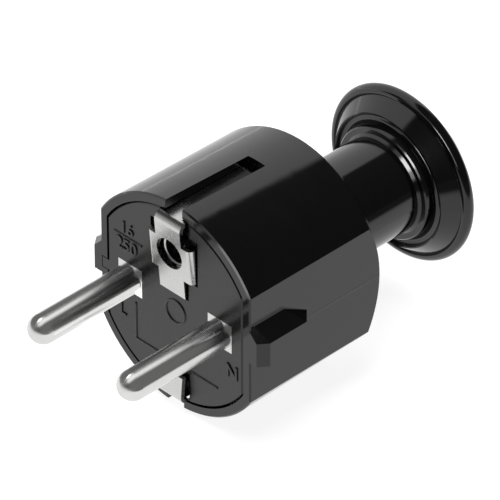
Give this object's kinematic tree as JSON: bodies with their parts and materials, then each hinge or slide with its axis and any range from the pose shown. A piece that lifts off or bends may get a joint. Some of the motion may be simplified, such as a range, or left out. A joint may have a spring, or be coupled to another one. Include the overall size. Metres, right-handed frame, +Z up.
{
  "type": "schuko plug",
  "caption": "Rewireable straight mains plug with round pins, earthing contacts in slots, an earth pin hole and a mushroom pull grip.",
  "frame": {"origin": "centre of the engagement face, midway between the pins", "axes": "+X to the right seen from the pin side, +Y back along the cable, +Z up towards the earth pin hole; the pins point to -Y"},
  "size_m": [0.0368, 0.0738, 0.0368],
  "materials": {
    "black_moulding": "glossy black moulding",
    "carrier_moulding": "fine satin black moulding",
    "nickel_plated_pin": "turned brass, bright nickel plate",
    "earth_strip": "stamped strip, satin nickel plate",
    "zinc_plated_steel": "zinc plated"
  },
  "bodies": {
    "root": {"housing": "black_moulding", "contact_carrier": "carrier_moulding", "live_pin": "nickel_plated_pin", "neutral_pin": "nickel_plated_pin", "earth_strap": "earth_strip", "earth_sleeve": "earth_strip", "earth_washer": "zinc_plated_steel", "cable_clamp_bar": "zinc_plated_steel", "live_terminal_screw": "zinc_plated_steel", "neutral_terminal_screw": "zinc_plated_steel", "earth_terminal_screw": "zinc_plated_steel", "clamp_screw_left": "zinc_plated_steel", "clamp_screw_right": "zinc_plated_steel"}
  },
  "joints": []
}
